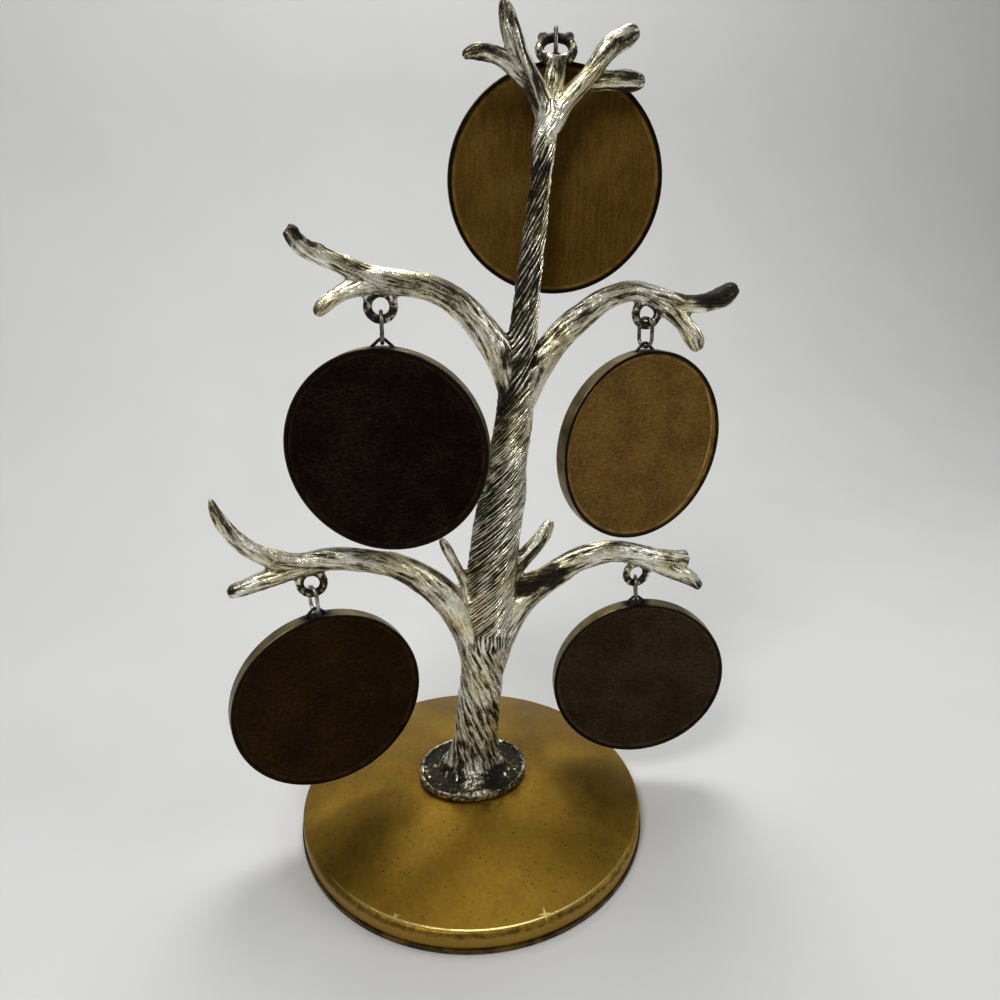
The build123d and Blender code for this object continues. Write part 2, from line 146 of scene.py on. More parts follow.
# Places of the Mix node's sockets, whose names repeat: share, values and result
MIX_SHARE, MIX_VALUES, MIX_RESULT = 0, (2, 3), 0
COLOUR_MIX_VALUES, COLOUR_MIX_RESULT = (6, 7), 2


class Finish:
    """One node material, with short calls for the nodes that the finishes are made of."""

    def __init__(self, name, **constants):
        self.material = bpy.data.materials.new(name)
        self.material.use_nodes = True
        self.tree = self.material.node_tree
        self.shader = self.tree.nodes["Principled BSDF"]
        self.place = self.add("TexCoord").outputs["Object"]
        for socket, value in constants.items():
            self.set(socket, value)

    def add(self, kind, inputs=None, **settings):
        made = self.tree.nodes.new("ShaderNode" + kind)
        for key, value in settings.items():
            setattr(made, key, value)
        for key, value in (inputs or {}).items():
            self.put(made.inputs[key], value)
        return made

    def put(self, socket, value):
        if isinstance(value, bpy.types.NodeSocket):
            self.tree.links.new(value, socket)
        elif socket.type == "RGBA":
            socket.default_value = (*value, 1)
        else:
            socket.default_value = value

    def set(self, socket, value):
        self.put(self.shader.inputs[socket.replace("_", " ")], value)

    def kept(self, name, output="Vector"):
        """What the mesh keeps for each of its points under a name."""
        return self.add("Attribute", attribute_name=name).outputs[output]

    def parts(self, vector):
        return self.add("SeparateXYZ", {"Vector": vector}).outputs

    def axis(self, name):
        return self.parts(self.place)[name]

    def measure(self, operation, other):
        """The distance from another place, or the dot product with another vector."""
        made = self.add("VectorMath", {0: self.place, 1: other}, operation=operation)
        return made.outputs["Value"]

    def stretched(self, scale, turn=(0, 0, 0), place=None):
        inputs = {"Vector": place or self.place, "Scale": scale, "Rotation": turn}
        return self.add("Mapping", inputs).outputs["Vector"]

    def noise(self, size, detail=3, rough=0.5, place=None):
        """Noise from 0 to 1 whose blotches are about size millimetres."""
        inputs = {
            "Vector": place or self.place,
            "Scale": 1 / (size * MM),
            "Detail": detail,
            "Roughness": rough,
        }
        return self.add("TexNoise", inputs).outputs["Fac"]

    def cells(self, size):
        """Distance from the middle of each cell, in cells of about size millimetres."""
        inputs = {"Vector": self.place, "Scale": 1 / (size * MM)}
        return self.add("TexVoronoi", inputs).outputs["Distance"]

    def fit(self, value, span, to=(0.0, 1.0)):
        """A value eased and clamped so that the ends of its span become the ends of to."""
        inputs = {
            "Value": value,
            "From Min": span[0],
            "From Max": span[1],
            "To Min": to[0],
            "To Max": to[1],
        }
        return self.add("MapRange", inputs, interpolation_type="SMOOTHSTEP").outputs["Result"]

    def fade(self, length, span, to=(1.0, 0.0)):
        """Fit of a length whose span is given in millimetres, by default from 1 to 0."""
        return self.fit(length, (span[0] * MM, span[1] * MM), to)

    def patches(self, size, span, to=(0.0, 1.0), detail=3):
        """Noise with part of its range fitted, for what comes and goes over a surface."""
        return self.fit(self.noise(size, detail), span, to)

    def math(self, operation, first, second=0.0):
        made = self.add("Math", operation=operation)
        self.put(made.inputs[0], first)
        self.put(made.inputs[1], second)
        return made.outputs[0]

    def plus(self, first, *others):
        for other in others:
            first = self.math("ADD", first, other)
        return first

    def times(self, first, *others):
        for other in others:
            first = self.math("MULTIPLY", first, other)
        return first

    def between(self, share, *values):
        """The value that lies share of the way from the first value to the second."""
        made = self.add("Mix", {MIX_SHARE: share})
        for socket, value in zip(MIX_VALUES, values):
            self.put(made.inputs[socket], value)
        return made.outputs[MIX_RESULT]

    def mix(self, share, first, second, kind="MIX"):
        made = self.add("Mix", data_type="RGBA", blend_type=kind)
        self.put(made.inputs["Factor"], share)
        for socket, colour in zip(COLOUR_MIX_VALUES, (first, second)):
            self.put(made.inputs[socket], colour)
        return made.outputs[COLOUR_MIX_RESULT]

    def ramp(self, share, *stops):
        made = self.add("ValToRGB", {"Fac": share})
        band = made.color_ramp
        while len(band.elements) < len(stops):
            band.elements.new(0.5)
        for element, (place, colour) in zip(band.elements, stops):
            element.position = place
            element.color = (*colour, 1)
        return made.outputs["Color"]

    def bump(self, height, distance):
        """Bump of a height from 0 to 1 that stands distance millimetres proud."""
        inputs = {"Height": height, "Distance": distance * MM}
        self.set("Normal", self.add("Bump", inputs).outputs["Normal"])


# Nearly all values of a noise lie in this span
NOISE_SPAN = (0.3, 0.7)

PAPER_COLOURS = (0.60, 0.60, 0.595), (0.65, 0.65, 0.645)
PAPER_MOTTLE = 60


def paper_sweep():
    """Matt paper, faintly mottled."""
    finish = Finish("sweep_paper", Roughness=0.9)
    mottle = finish.noise(PAPER_MOTTLE, detail=2)
    finish.set("Base Color", finish.mix(mottle, *PAPER_COLOURS))
    return finish.material


# Ridges round a thick limb, and round a thin one or the trunk's rope-like foot
RIDGE_COUNTS = (34, 17)
# Noise that bends the ridges: size, share of its length that counts, radians at both ends
BEND_SIZE, BEND_SHARE, BEND_RADIANS = 1.7, 0.4, (-1.9, 1.9)
# Noise that lets the ridges fade: size, span and their strength at both ends
FADING_SIZE, FADING_SPAN, FADING_STRENGTH = 2.4, (0.36, 0.58), (0.25, 1.25)


def silver_ridges(finish, bark_place):
    """Ridges that wind round each limb: waves of its turning angle, bent and broken by noise."""
    cross = finish.parts(bark_place)
    turn = finish.math("ARCTAN2", cross["Y"], cross["X"])
    wander, thin, amount = finish.parts(finish.kept("ridge_form"))
    bend_place = finish.stretched((1, 1, BEND_SHARE), place=bark_place)
    bend = finish.fit(finish.noise(BEND_SIZE, detail=2, place=bend_place), NOISE_SPAN, BEND_RADIANS)
    wander = finish.plus(wander, bend)
    fading = finish.fit(finish.noise(FADING_SIZE, place=bark_place), FADING_SPAN, FADING_STRENGTH)
    waves = [
        finish.math("COSINE", finish.plus(finish.times(turn, count), wander))
        for count in RIDGE_COUNTS
    ]
    return finish.times(finish.between(thin, *waves), finish.times(amount, fading))


SILVER_STOPS = (
    (0.0, (0.010, 0.008, 0.006)),
    (0.26, (0.030, 0.024, 0.015)),
    (0.40, (0.15, 0.130, 0.082)),
    (0.56, (0.56, 0.53, 0.41)),
    (0.80, (0.95, 0.92, 0.81)),
)
SILVER_TINT = (0.80, 0.72, 0.46)
TINT_SIZE, TINT_STRENGTH = 14, 0.7
# Streaks are noise drawn out along a limb, of whose length this share counts
STREAK_SIZE, STREAK_SHARE = 0.55, 0.13
GRAIN_SIZE = 0.5
WEAR_SIZE = 9
# How much a ridge counts in the plating's tone and in its relief, the grain's share of that
# relief, and the depth of it all
RIDGE_TONE = 0.8
RIDGE_RELIEF = 1.5
GRAIN_RELIEF = 0.3
SILVER_RELIEF = 0.3


def antique_silver():
    """Worn silver plate: bright on the crests of the bark, black oxide in its troughs, with the
    painted shade and highlights that the kept relief holds.
    """
    finish = Finish("antique_silver")
    bark_place = finish.kept("streak_place")
    ridge = silver_ridges(finish, bark_place)
    drawn_out = finish.stretched((1, 1, STREAK_SHARE), place=bark_place)
    streak = finish.noise(STREAK_SIZE, detail=2, rough=0.6, place=drawn_out)
    grain = finish.noise(GRAIN_SIZE, detail=4)
    level = finish.plus(
        finish.kept("relief", "Fac"),
        finish.fit(streak, span=(0.36, 0.64), to=(-0.13, 0.15)),
        finish.times(ridge, RIDGE_TONE),
        finish.fit(grain, span=(0.25, 0.75), to=(-0.08, 0.08)),
        finish.patches(WEAR_SIZE, NOISE_SPAN, to=(-0.08, 0.14)),
    )
    tint = finish.times(finish.patches(TINT_SIZE, span=(0.42, 0.65), detail=2), TINT_STRENGTH)
    plate = finish.mix(tint, finish.ramp(level, *SILVER_STOPS), SILVER_TINT, "MULTIPLY")
    finish.set("Base Color", plate)
    finish.set("Metallic", finish.fit(level, span=(0.15, 0.5), to=(0.80, 1.0)))
    finish.set("Roughness", finish.fit(level, span=(0.2, 0.8), to=(0.55, 0.27)))
    grain_relief = finish.times(grain, GRAIN_RELIEF)
    finish.bump(finish.plus(streak, grain_relief, finish.times(ridge, RIDGE_RELIEF)), SILVER_RELIEF)
    return finish.material


BRASS_STOPS = (
    (0.30, (0.165, 0.092, 0.011)),
    (0.50, (0.245, 0.142, 0.018)),
    (0.72, (0.33, 0.202, 0.030)),
)
# Colours of the pits, scratches, halo and wall, of the dark band, of the painted edge highlight and
# of the darkening at the bottom, and how strongly each shows
PIT_COLOUR, PIT_STRENGTH = (0.05, 0.028, 0.008), 0.75
SCRATCH_COLOUR, SCRATCH_STRENGTH = (0.62, 0.50, 0.24), 0.35
HALO_COLOUR, HALO_STRENGTH = (0.10, 0.028, 0.010), 0.6
WALL_COLOUR, WALL_STRENGTH = (0.43, 0.27, 0.05), 0.55
DARK_BAND_COLOUR, DARK_BAND_STRENGTH = (0.085, 0.045, 0.013), 0.75
EDGE_HIGHLIGHT_COLOUR, EDGE_HIGHLIGHT_SMOOTHER = (1.0, 0.80, 0.34), 0.28
BOTTOM_DARK_COLOUR = (0.045, 0.032, 0.018)
# Sizes of the plating's clouds, its fine mottle, pits and scratches
CLOUD_SIZE, CLOUD_SHARE = 16, 0.8
MOTTLE_SIZE = 1.2
PIT_SIZE = 1.7
SCRATCH_SIZE, SCRATCH_SHARE, SCRATCH_TURN = 0.5, 0.08, 38
# Reaches from the base's axis: the halo round the foot, the painted highlight along the edge, the
# dark band
HALO = (15.5, 19.0)
EDGE_HIGHLIGHT_INSIDE = (49.5, 49.85)
EDGE_HIGHLIGHT_OUTSIDE = (49.85, 50.2)
DARK_BAND_REACH = (50.2, 50.35)
# Heights between which these fade: pits everywhere, the wall's colour, the dark band, the star
# spots, the darkening at the bottom
PITTED_WALL = (5.0, 5.6)
WALL = (5.0, 5.7)
DARK_BAND_HEIGHT = (4.7, 5.1)
STAR_HEIGHT = (5.6, 6.0)
BOTTOM_DARK_HEIGHT = (1.75, 2.1)
# The front, where the painted edge highlight and the dark band show, and how far forward they start
# and are whole
FORWARD = (-0.12, -0.99, 0)
EDGE_HIGHLIGHT_FRONT = (26, 38)
DARK_BAND_FRONT = (20, 34)
# Bright star-shaped spots on the edge, in the colour of the painted edge highlight: place across,
# place along, size. Their arms thin out between two widths
STAR_SPOTS = [(8.2, -48.6, 2.4), (-28.6, -40.2, 1.3)]
STAR_ARM = (0.05, 0.4)
STAR_CORE_SHARE = 0.1
STAR_STRENGTH = 0.8
BRASS_RELIEF = 0.02


def star_spot(finish, middle, size):
    """A small bright star-shaped spot whose arms fade away from its middle."""
    side, ahead = (
        finish.math("ABSOLUTE", finish.math("SUBTRACT", finish.axis(axis), place * MM))
        for axis, place in zip("XY", middle)
    )
    arms = finish.fade(finish.math("MINIMUM", side, ahead), STAR_ARM)
    star = finish.fade(finish.plus(side, ahead), (STAR_CORE_SHARE * size, size))
    on_top = finish.fade(finish.axis("Z"), STAR_HEIGHT, to=(0, 1))
    return finish.times(arms, star, on_top, STAR_STRENGTH)


def worn_brass():
    """Brass plate on the base: mottled, pitted, with a painted highlight along the front of its
    edge.
    """
    finish = Finish("worn_brass", Metallic=1.0)
    across, along, up = (finish.axis(name) for name in "XYZ")
    reach = finish.plus(finish.times(across, across), finish.times(along, along))
    reach = finish.math("SQRT", reach)
    forward = finish.measure("DOT_PRODUCT", FORWARD)
    cloud = finish.noise(CLOUD_SIZE, detail=4)
    fine = finish.noise(MOTTLE_SIZE)
    fine_part = finish.fit(fine, span=(0, 1), to=(0, 1 - CLOUD_SHARE))
    colour = finish.ramp(finish.plus(finish.times(cloud, CLOUD_SHARE), fine_part), *BRASS_STOPS)

    some = finish.patches(5, span=(0.44, 0.56), detail=2)
    gathered = finish.math("MAXIMUM", some, finish.fade(up, PITTED_WALL))
    pits = finish.times(finish.fit(finish.cells(PIT_SIZE), span=(0.13, 0.20), to=(1, 0)), gathered)
    colour = finish.mix(finish.times(pits, PIT_STRENGTH), colour, PIT_COLOUR)
    drawn_out = finish.stretched((1, SCRATCH_SHARE, 1), (0, 0, radians(SCRATCH_TURN)))
    scratch = finish.noise(SCRATCH_SIZE, detail=1, place=drawn_out)
    scratch = finish.times(
        finish.fit(scratch, span=(0.74, 0.80)),
        finish.patches(13, span=(0.5, 0.62), detail=1),
        SCRATCH_STRENGTH,
    )
    colour = finish.mix(scratch, colour, SCRATCH_COLOUR)
    halo = finish.fade(reach, HALO, to=(HALO_STRENGTH, 0))
    halo = finish.times(halo, finish.patches(3, span=(0.4, 0.6)))
    colour = finish.mix(halo, colour, HALO_COLOUR)

    # Painted highlight: a bright line along the front of the edge, with the star spots, where the
    # brass is also smoother
    edge_highlight = finish.times(
        finish.fade(reach, EDGE_HIGHLIGHT_INSIDE, to=(0, 1)),
        finish.fade(reach, EDGE_HIGHLIGHT_OUTSIDE),
        finish.fade(forward, EDGE_HIGHLIGHT_FRONT, to=(0, 1)),
        finish.patches(5, span=(0.3, 0.55), to=(0.35, 1.0)),
    )
    for *middle, size in STAR_SPOTS:
        edge_highlight = finish.math("MAXIMUM", edge_highlight, star_spot(finish, middle, size))
    colour = finish.mix(finish.fade(up, WALL, to=(WALL_STRENGTH, 0)), colour, WALL_COLOUR)
    # A thin dark band on the outside of the edge, towards the front
    dark_band = finish.times(
        finish.fade(reach, DARK_BAND_REACH, to=(0, 1)),
        finish.fade(up, DARK_BAND_HEIGHT, to=(0, 1)),
        finish.patches(1.6, span=(0.40, 0.62), to=(0, DARK_BAND_STRENGTH), detail=4),
        finish.fade(forward, DARK_BAND_FRONT, to=(0, 1)),
    )
    colour = finish.mix(dark_band, colour, DARK_BAND_COLOUR)
    colour = finish.mix(edge_highlight, colour, EDGE_HIGHLIGHT_COLOUR)
    # Darker towards the bottom, over the lip
    bottom_dark = finish.times(
        finish.fade(up, BOTTOM_DARK_HEIGHT),
        finish.patches(4, span=(0.3, 0.6), to=(0.6, 1.0)),
    )
    finish.set("Base Color", finish.mix(bottom_dark, colour, BOTTOM_DARK_COLOUR))
    rough = finish.fit(cloud, NOISE_SPAN, to=(0.44, 0.54))
    smoother = finish.times(edge_highlight, EDGE_HIGHLIGHT_SMOOTHER)
    finish.set("Roughness", finish.math("SUBTRACT", rough, smoother))
    finish.bump(finish.math("SUBTRACT", fine, pits), BRASS_RELIEF)
    return finish.material


RIM_DARK = (0.085, 0.060, 0.024)
RIM_LIGHT = (0.215, 0.168, 0.072)
RIM_BURNT_AND_BLACK = (0.012, 0.009, 0.006)
RIM_RELIEF = 0.015
# Distances from the solder between which the burnt stain fades
BURNT = (3.2, 5.2)
# Which way a rim's faces look, from its black back to where the brass starts
BLACK_BACK = (-0.95, -0.72)


def aged_brass(name, solder):
    """Thin rim metal, dull olive brass with brown spots, burnt dark round the solder, and black on
    the faces that look back.
    """
    finish = Finish(name, Metallic=1.0)
    facing = finish.parts(finish.add("TexCoord").outputs["Normal"])["Y"]
    black = finish.fit(facing, BLACK_BACK, to=(1, 0))
    burnt_and_black_back = finish.math("MAXIMUM", black, finish.fade(finish.measure("DISTANCE", solder), BURNT))
    body = finish.ramp(finish.noise(5, detail=4), (0.35, RIM_DARK), (0.62, RIM_LIGHT))
    finish.set("Base Color", finish.mix(burnt_and_black_back, body, RIM_BURNT_AND_BLACK))
    finish.set("Roughness", finish.patches(1.5, NOISE_SPAN, to=(0.34, 0.5)))
    finish.bump(finish.noise(0.6), RIM_RELIEF)
    return finish.material


class Card(NamedTuple):
    """A backing card's three tones, share of pale fibres, stretch of its grain and crease."""

    low: tuple
    middle: tuple
    high: tuple
    fibres: float
    stretch: tuple = (0.45, 1, 1)
    crease: float = 0.0


CARDS = {
    "top": Card(
        (0.054, 0.026, 0.0040), (0.082, 0.043, 0.0064), (0.112, 0.064, 0.014), 0.10,
        stretch=(1, 1, 0.12),
    ),
    "upper_left": Card(
        (0.0018, 0.0006, 0.0004), (0.0050, 0.0016, 0.0009), (0.018, 0.0095, 0.0065), 0.10,
    ),
    "upper_right": Card(
        (0.070, 0.037, 0.008), (0.120, 0.064, 0.014), (0.19, 0.112, 0.030), 0.35, crease=0.8,
    ),
    "lower_left": Card(
        (0.009, 0.0036, 0.0008), (0.016, 0.0066, 0.0013), (0.030, 0.0145, 0.004), 0.12,
    ),
    "lower_right": Card(
        (0.013, 0.0078, 0.0036), (0.024, 0.0150, 0.0068), (0.042, 0.029, 0.0155), 0.22,
    ),
}
# Levels at which a card has its low, middle and high tone
CARD_LEVELS = (0.34, 0.5, 0.70)
# Sizes of a card's fine fibres, brushed grain, clouds and the cells that hold pale fibres
FIBRE_SIZE, BRUSHED_SIZE, CARD_CLOUD_SIZE, PALE_CELL = 0.55, 0.7, 12, 3.1
# How many times paler than a card's high tone its pale fibres and worn places are
PALE = 2.2
# The worn edge, as distances in from the card's rim
WORN_EDGE = (1.1, 0.4)
# The crease is an arc: its middle from the card's own, how much wider it is, its half widths
CREASE_MIDDLE = (-4, 0, 1)
CREASE_WIDER = 2.4
CREASE_WIDTH = (0.1, 0.5)
CARD_RELIEF = 0.12


def fibre_card(name, centre, reach, card):
    """Pressed fibre board, brushed by handling, with pale fibres in it."""
    finish = Finish(name, Roughness=0.95, Specular_IOR_Level=0.06)
    fine = finish.noise(FIBRE_SIZE, rough=0.6)
    brushed = finish.noise(BRUSHED_SIZE, rough=0.6, place=finish.stretched(card.stretch))
    cloud = finish.patches(CARD_CLOUD_SIZE, NOISE_SPAN, to=(-0.07, 0.07))
    level = finish.plus(finish.times(finish.plus(fine, brushed), 0.5), cloud)
    colour = finish.ramp(level, *zip(CARD_LEVELS, (card.low, card.middle, card.high)))
    pale = tuple(min(1, PALE * share) for share in card.high)
    fibre = finish.fit(finish.cells(PALE_CELL), span=(0, 0.11), to=(card.fibres, 0))
    colour = finish.mix(fibre, colour, pale)
    from_rim = finish.math("SUBTRACT", reach, finish.measure("DISTANCE", centre))
    edge = finish.fade(from_rim, WORN_EDGE, to=(0, 1))
    edge = finish.times(edge, finish.patches(2.5, span=(0.35, 0.65), to=(0.1, 0.5)))
    colour = finish.mix(edge, colour, pale)
    if card.crease:
        fold = finish.measure("DISTANCE", centre + Vector(CREASE_MIDDLE) * MM)
        fold = finish.math("SUBTRACT", fold, reach + CREASE_WIDER * MM)
        fold = finish.fade(finish.math("ABSOLUTE", fold), CREASE_WIDTH, to=(card.crease, 0))
        fold = finish.times(fold, finish.patches(4, span=(0.35, 0.6), to=(0.2, 1.0)))
        colour = finish.mix(fold, colour, pale)
    finish.set("Base Color", colour)
    finish.bump(level, CARD_RELIEF)
    return finish.material


def mottled(name, grain, dark, light, rough=None, bump=None, **constants):
    """A plain mottled finish. Grain is the noise's size and detail, dark and light are stops,
    rough is size, detail and the roughness at both ends, bump is size, detail and height."""
    finish = Finish(name, **constants)
    finish.set("Base Color", finish.ramp(finish.noise(*grain), dark, light))
    if rough:
        size, detail, *ends = rough
        finish.set("Roughness", finish.patches(size, NOISE_SPAN, ends, detail))
    if bump:
        size, detail, height = bump
        finish.bump(finish.noise(size, detail), height)
    return finish.material


def dark_wire(name, dark, light):
    """Tarnished steel wire."""
    return mottled(
        name, (1.5, 3), (0.35, dark), (0.65, light),
        rough=(1.5, 3, 0.5, 0.3), bump=(0.4, 2, 0.01), Metallic=1.0,
    )


def pane_glass():
    """Thin clear glass with a few smudges."""
    return mottled(
        "pane_glass", (9, 3), (0.4, (0.82, 0.86, 0.84)), (0.6, (0.92, 0.95, 0.94)),
        rough=(9, 3, 0.02, 0.07), IOR=1.5, Metallic=0.6, Alpha=0.14,
    )


def photo_paper():
    """Blank, slightly yellowed photo paper."""
    return mottled(
        "photo_paper", (14, 3), (0.3, (0.70, 0.66, 0.56)), (0.7, (0.80, 0.77, 0.69)),
        rough=(2, 3, 0.35, 0.5), Specular_IOR_Level=0.4,
    )


def wool_felt():
    """Dark green felt."""
    return mottled(
        "wool_felt", (0.8, 4), (0.3, (0.012, 0.022, 0.014)), (0.7, (0.035, 0.055, 0.036)),
        bump=(0.8, 4, 0.3), Roughness=1.0, Sheen_Weight=0.4,
    )


def grey_iron():
    """Rough cast iron."""
    return mottled(
        "grey_iron", (1.2, 4), (0.3, (0.10, 0.095, 0.09)), (0.7, (0.22, 0.21, 0.20)),
        rough=(1.2, 4, 0.6, 0.8), bump=(1.2, 4, 0.1), Metallic=0.8,
    )


def zinc_steel():
    """Zinc-plated steel of the screw and its washer."""
    return mottled(
        "zinc_steel", (0.8, 3), (0.3, (0.40, 0.40, 0.39)), (0.7, (0.60, 0.59, 0.56)),
        rough=(0.8, 3, 0.3, 0.45), Metallic=1.0,
    )


def paint(node, material):
    """Give a CAD node its finish."""
    slots = nodes[node].data.materials
    slots.clear()
    slots.append(material)


# The tree's bark

# Middle lines of the casting's limbs: (across, depth, height, radius) of each point
TRUNK_LINE = [
    (0, 0, 14.5, 10.3), (0.5, 0, 19.3, 8.1), (1.1, 0, 28.1, 6.9), (2.6, 0, 43.1, 6.8),
    (4.5, 0, 61.6, 7.4), (6, 0, 82.1, 7.2), (7.8, 0, 96.1, 7.0), (10, 0, 112.2, 5.8),
    (12.1, 0, 128.3, 5.0), (14, 0, 148.7, 3.8), (16.6, 0, 172.5, 3.1), (18.8, 0, 195, 3.0),
]
LIMB_LINES = {
    "upper_left": [
        (10.7, 0, 128.7, 3.6), (6.3, 0, 142.3, 4.2), (2.2, 0, 147.5, 3.9), (-3.3, 0, 153, 3.6),
        (-9.3, 0, 156.1, 3.4), (-21.1, 0, 158.1, 3.3), (-32, 0, 162.6, 2.4), (-41.8, 0, 169.5, 1.8),
    ],
    "upper_left_twig": [
        (-19.4, 0, 157.8, 2.9), (-25.9, 0, 157, 2.7), (-33.4, 0, 153.6, 1.9), (-36.4, 0, 150.3, 1.4),
    ],
    "upper_right": [
        (13.1, 0, 124.3, 4.2), (16.6, 0, 134.7, 4.2), (25, 0, 145.6, 3.8), (35.1, 0, 152.9, 3.1),
        (42.8, 0, 154.9, 2.8), (57, 0, 151.7, 2.6), (66.8, 0, 152.4, 2.7), (71.8, 0, 155.7, 1.6),
    ],
    "upper_right_twig": [
        (45.6, 0, 154.1, 2.6), (52.3, 0, 150.9, 2.8), (60, 0, 144.1, 2.4), (62.7, 0, 139.6, 1.6),
    ],
    "lower_left": [
        (3.2, 0, 46.3, 4.8), (0, 0, 60.8, 5.4), (-6, 0, 71.8, 4.8), (-16.1, 0, 81.8, 4.0),
        (-27.1, 0, 86.6, 3.4), (-39.3, 0, 88.3, 3.2), (-51.5, 0, 89.6, 2.9), (-60.2, 0, 96.2, 2.3),
        (-65, 0, 107.3, 1.2),
    ],
    "lower_left_twig": [
        (-42.7, 0, 87.6, 2.9), (-50, 0, 85.3, 2.8), (-58.3, 0, 82.8, 2.4), (-63.9, 0, 81.2, 1.4),
    ],
    "left_fork": [(1.1, 0, 71.8, 2.4), (-4.4, 0, 83.2, 1.6), (-8.5, 0, 91.4, 1.2)],
    "lower_right": [
        (4.8, 0, 46.5, 4.6), (8.3, 0, 60.9, 5.3), (13.2, 0, 69.2, 4.9), (23.8, 0, 77, 4.1),
        (37.5, 0, 82.4, 3.6), (51.1, 0, 80.2, 3.3), (65.7, 0, 78.1, 2.5),
    ],
    "lower_right_twig": [
        (48.6, 0, 80.8, 3.1), (57.6, 0, 76.5, 3.2), (67.3, 0, 71, 2.5), (70.6, 0, 67.8, 1.8),
    ],
    "right_fork": [
        (8.3, 0, 73.8, 3.1), (14.1, 0, 82.4, 2.8), (18.7, 0, 87.2, 2.5), (22.4, 0, 93.9, 1.6),
    ],
    "broken_stub": [(8.3, 0, 73.8, 2.6), (14.3, -1.2, 75.9, 2.5), (23.4, -3.6, 78.8, 2.0)],
    "crown_left": [
        (18.8, 0, 189.1, 2.5), (17.3, 0, 196.3, 2.6), (12.9, 0, 204.3, 2.3), (9.4, 0, 211.9, 1.9),
        (8, 0, 216.6, 1.0),
    ],
    "crown_left_twig": [
        (15.1, 0, 200.3, 1.9), (9.6, 0, 204.2, 2.1), (3.9, 0, 206.3, 1.8), (-0.8, 0, 205.4, 1.1),
    ],
    "crown_right": [
        (18.6, 0, 189.1, 2.4), (22.1, -0.8, 196.1, 2.4), (28.2, -1.7, 203.1, 2.3),
        (33, -2.5, 209, 2.0), (38, -3.4, 211.5, 1.2),
    ],
    "crown_right_twig": [
        (25.4, 0, 199.9, 1.8), (31.4, -1.4, 201.6, 2.2), (38.6, -2.7, 201.8, 1.7),
        (40.4, -3.4, 201.7, 1.2),
    ],
    "crown_stem": [(19.8, 0, 194.6, 2.0), (20.8, 1.6, 203, 2.2), (21.2, 2.4, 205.8, 1.9)],
}

# Cast rings: middle, radius of the ring's own line, turn and backward lean in degrees
RING_BAR = 1.2
RINGS = {
    "upper_left": ((-21.5, 0, 152.2), 3.1, 0, 0),
    "upper_right": ((47.0, 0, 149.3), 3.1, 0, 0),
    "lower_left": ((-42.7, 0, 82.05), 3.1, 0, 0),
    "lower_right": ((49.5, 0, 74.75), 3.1, 0, 0),
    "crown": ((22.0, 5.0, 208.66), 3.9, -14, 40),
}

# Height along the trunk, and how far its bark has wound round by then, in degrees
BARK_WINDING = [
    (14, 0), (28, -40), (58, -190), (63, -195), (95, 95), (128, 425), (150, 640), (195, 1090),
]
# On every other limb the bark winds by this many degrees for each millimetre
LIMB_WINDING = 1.6


class Grain(NamedTuple):
    """How bark is cut: width and length of a long cut, lift of its level over the cuts, how far
    up the limb it is wound like a rope, and how strong its ridges are."""

    pitch: float
    length: float
    lift: float
    rope: float
    ridge: float


TRUNK_GRAIN = Grain(0.9, 4.0, 0.09, 44, 0.20)
BRANCH_GRAIN = Grain(1.25, 11.0, 0.19, 0, 0.03)
# Shares of the long and the fine cuts in the bark's level, how sharp their crests are,
# the fine cuts' width and length, and the share and size of plain roughness
LONG_SHARE, LONG_SHARPNESS = 0.42, 2.2
FINE_SHARE, FINE_SHARPNESS = 0.20, 1.8
FINE_CELL = (0.7, 0.7, 3.2)
CUTS_SHARE = 1.15
ROUGH_SHARE, ROUGH_SIZE = 0.10, 1.3
# How far ridges stray, in radians of their own wave, and over what width and length
WANDER = 2.2
WANDER_CELL = (2.6, 2.6, 5)
# Limbs over this radius have the finer ridges, above the rope-like stretch
THICK_LIMB, THICK_FADE = 4.8, 0.3
ROPE_FADE = 0.5
# How strong ridges are on the rope-like stretch, in the cut shape and in the material
ROPE_SHAPE, ROPE_TONE = 0.6, 0.55
# Bark of limbs that meet is blended over this gap, and a share under the least counts as none
LIMB_BLEND = 0.35
LEAST_SHARE = 0.03
# Seeds: the step from limb to limb, those within one limb, and those of the plain places
LIMB_SEEDS = 11
WANDER_SEED, FINE_SEED, ROUGH_SEED = 3, 5, 9
SPECK_SEED, ROOT_SEED = 31, 41

# The mesh that carries the bark
VOXEL = 0.40
SMOOTH_SHARE, SMOOTH_ROUNDS = 0.5, 3
# Depth of the deepest cut, and the share of it that plain places keep
BARK_CUT = 0.5
PLAIN_CUT_SHARE = 0.35

# The oval foot: half sizes, how far out its dish reaches, heights where the bark starts and
# where the foot's own plating ends, and its flat underside, which isn't cut
FOOT_HALF = (16.4, 13.75)
DISH_EDGE, DISH_FADE = 0.95, 0.02
BARK_FOOT, BARK_FOOT_FADE = 16.3, 2.5
FOOT_TOP = 19.5
UNDERSIDE = 14.0
RING_FADE = 0.8
# Plain places have even blotches for streaks, made broader by scaling their places by this
PLAIN_STREAK = 0.5
# Levels of the dish's oxide and its bright specks, of the bead round it, and of the pits:
# share, size and seed of each of their noises
OXIDE_LEVEL, SPECK_SIZE, SPECK_FROM, SPECK_GAIN = 0.10, 0.8, 0.45, 1.8
BEAD_LEVEL, BEAD_PITS = 0.29, 0.2
PIT_LEVEL = 0.45
PIT_NOISES = ((0.35, 0.9, 77), (0.2, 0.45, 78))

